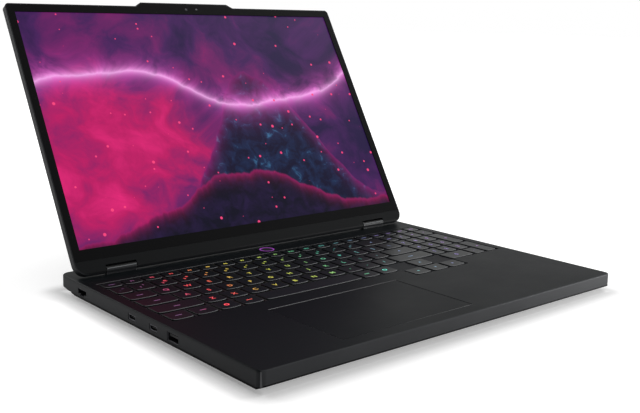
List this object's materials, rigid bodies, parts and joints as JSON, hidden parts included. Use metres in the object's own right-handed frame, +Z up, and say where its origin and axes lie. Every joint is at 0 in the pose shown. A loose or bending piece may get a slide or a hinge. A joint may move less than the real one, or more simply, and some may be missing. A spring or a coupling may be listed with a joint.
{
  "type": "laptop computer",
  "caption": "Open laptop computer with a hinged lid and wide screen, a full keyboard with numeric block, a touchpad, side and rear sockets, cooling fans and rubber feet.",
  "frame": {"origin": "centre of the base in plan, on the flat underside of the bottom cover; the rubber feet reach below it", "axes": "+X to the right of the person who types, +Y from the front edge towards the hinge, +Z up"},
  "size_m": [0.3448, 0.3541, 0.2203],
  "materials": {
    "shell": "fine matt, near-black grey",
    "bezel": "matt black",
    "keycap": "satin black",
    "touch_plate": "smooth satin",
    "switch_plastic": "satin black",
    "light_ring": "lit, clear magenta",
    "screen": "lit screen surface",
    "lens": "polished black",
    "hinge_steel": "satin dark grey",
    "plated_steel": "plated, pressed",
    "foot_rubber": "matt",
    "board": "lacquered board",
    "chip": "smooth",
    "copper": "bare copper",
    "fin_metal": "bare",
    "inner_plastic": "moulded black"
  },
  "bodies": {
    "base": {"top_cover": "shell", "bottom_cover": "shell", "rear_grille": "shell", "bottom_screws": "plated_steel", "front_feet": "foot_rubber", "rear_foot": "foot_rubber", "keyboard_web": "bezel", "keyboard_plate": "plated_steel", "hinge_knuckle_left": "hinge_steel", "hinge_knuckle_right": "hinge_steel", "main_board": "board", "processor_packages": "chip", "heat_pipes": "copper", "heat_sink_fins": "fin_metal", "fan_housing_left": "inner_plastic", "fan_housing_right": "inner_plastic", "battery": "inner_plastic", "solid_state_drive": "board", "memory_modules": "board", "radio_card": "board", "speakers": "inner_plastic", "usb_c_ports": "plated_steel", "usb_a_port_left": "plated_steel", "ethernet_port": "plated_steel", "usb_a_ports_right": "plated_steel", "audio_jack": "inner_plastic", "video_port": "plated_steel", "power_inlet": "inner_plastic", "touchpad_frame": "plated_steel", "power_ring": "light_ring"},
    "lid": {"lid_back_cover": "shell", "screen_bezel": "bezel", "hinge_cover": "shell", "display_panel": "inner_plastic", "display_screen": "screen", "webcam_board": "board", "webcam_lens": "lens", "hinge_leaf_left": "hinge_steel", "hinge_leaf_right": "hinge_steel", "radio_antennas": "fin_metal"},
    "fan_left": {"fan_impeller_left": "inner_plastic"},
    "fan_right": {"fan_impeller_right": "inner_plastic"},
    "touchpad": {"touchpad": "touch_plate"},
    "power_button": {"power_button": "switch_plastic"},
    "camera_switch": {"camera_switch": "switch_plastic"},
    "function_keys": {"function_keys": "keycap"},
    "number_keys": {"number_keys": "keycap"},
    "backspace_key": {"backspace_key": "keycap"},
    "tab_key": {"tab_key": "keycap"},
    "upper_letter_keys": {"upper_letter_keys": "keycap"},
    "caps_lock_key": {"caps_lock_key": "keycap"},
    "home_letter_keys": {"home_letter_keys": "keycap"},
    "enter_key": {"enter_key": "keycap"},
    "left_shift_key": {"left_shift_key": "keycap"},
    "lower_letter_keys": {"lower_letter_keys": "keycap"},
    "right_shift_key": {"right_shift_key": "keycap"},
    "modifier_keys": {"modifier_keys": "keycap"},
    "space_bar": {"space_bar": "keycap"},
    "arrow_keys": {"arrow_keys": "keycap"},
    "numpad_keys": {"numpad_keys": "keycap"}
  },
  "joints": [
    {"name": "lid_hinge", "type": "hinge", "parent": "base", "child": "lid", "pos_m": [0, 0.10465, 0.016], "axis": [1, 0, 0], "range_deg": [-59.3, 120.7]},
    {"name": "fan_left_spin", "type": "hinge", "parent": "base", "child": "fan_left", "pos_m": [-0.1, 0.0552, 0.005], "axis": [0, 0, 1], "continuous": true},
    {"name": "fan_right_spin", "type": "hinge", "parent": "base", "child": "fan_right", "pos_m": [0.1, 0.0552, 0.005], "axis": [0, 0, 1], "continuous": true},
    {"name": "touchpad_press", "type": "hinge", "parent": "base", "child": "touchpad", "pos_m": [-0.03975, -0.0405, 0.01215], "axis": [1, 0, 0], "range_deg": [0, 0.4], "stiffness_Nm_per_rad": 16, "springref_deg": -0.34},
    {"name": "power_press", "type": "slide", "parent": "base", "child": "power_button", "axis": [0, 0, -1], "range_m": [0, 0.0005], "stiffness_N_per_m": 1200, "springref_m": -0.0004},
    {"name": "camera_switch_slide", "type": "slide", "parent": "base", "child": "camera_switch", "axis": [0, -1, 0], "range_m": [0, 0.003]},
    {"name": "function_keys_press", "type": "slide", "parent": "base", "child": "function_keys", "axis": [0, 0, -1], "range_m": [0, 0.0012], "stiffness_N_per_m": 6000, "springref_m": -0.0008},
    {"name": "number_keys_press", "type": "slide", "parent": "base", "child": "number_keys", "axis": [0, 0, -1], "range_m": [0, 0.0012], "stiffness_N_per_m": 3900, "springref_m": -0.0008},
    {"name": "backspace_key_press", "type": "slide", "parent": "base", "child": "backspace_key", "axis": [0, 0, -1], "range_m": [0, 0.0012], "stiffness_N_per_m": 300, "springref_m": -0.0008},
    {"name": "tab_key_press", "type": "slide", "parent": "base", "child": "tab_key", "axis": [0, 0, -1], "range_m": [0, 0.0012], "stiffness_N_per_m": 300, "springref_m": -0.0008},
    {"name": "upper_letter_keys_press", "type": "slide", "parent": "base", "child": "upper_letter_keys", "axis": [0, 0, -1], "range_m": [0, 0.0012], "stiffness_N_per_m": 3900, "springref_m": -0.0008},
    {"name": "caps_lock_key_press", "type": "slide", "parent": "base", "child": "caps_lock_key", "axis": [0, 0, -1], "range_m": [0, 0.0012], "stiffness_N_per_m": 300, "springref_m": -0.0008},
    {"name": "home_letter_keys_press", "type": "slide", "parent": "base", "child": "home_letter_keys", "axis": [0, 0, -1], "range_m": [0, 0.0012], "stiffness_N_per_m": 3300, "springref_m": -0.0008},
    {"name": "enter_key_press", "type": "slide", "parent": "base", "child": "enter_key", "axis": [0, 0, -1], "range_m": [0, 0.0012], "stiffness_N_per_m": 300, "springref_m": -0.0008},
    {"name": "left_shift_key_press", "type": "slide", "parent": "base", "child": "left_shift_key", "axis": [0, 0, -1], "range_m": [0, 0.0012], "stiffness_N_per_m": 300, "springref_m": -0.0008},
    {"name": "lower_letter_keys_press", "type": "slide", "parent": "base", "child": "lower_letter_keys", "axis": [0, 0, -1], "range_m": [0, 0.0012], "stiffness_N_per_m": 3000, "springref_m": -0.0008},
    {"name": "right_shift_key_press", "type": "slide", "parent": "base", "child": "right_shift_key", "axis": [0, 0, -1], "range_m": [0, 0.0012], "stiffness_N_per_m": 300, "springref_m": -0.0008},
    {"name": "modifier_keys_press", "type": "slide", "parent": "base", "child": "modifier_keys", "axis": [0, 0, -1], "range_m": [0, 0.0012], "stiffness_N_per_m": 1800, "springref_m": -0.0008},
    {"name": "space_bar_press", "type": "slide", "parent": "base", "child": "space_bar", "axis": [0, 0, -1], "range_m": [0, 0.0012], "stiffness_N_per_m": 300, "springref_m": -0.0008},
    {"name": "arrow_keys_press", "type": "slide", "parent": "base", "child": "arrow_keys", "axis": [0, 0, -1], "range_m": [0, 0.0012], "stiffness_N_per_m": 1200, "springref_m": -0.0008},
    {"name": "numpad_keys_press", "type": "slide", "parent": "base", "child": "numpad_keys", "axis": [0, 0, -1], "range_m": [0, 0.0012], "stiffness_N_per_m": 5100, "springref_m": -0.0008}
  ]
}
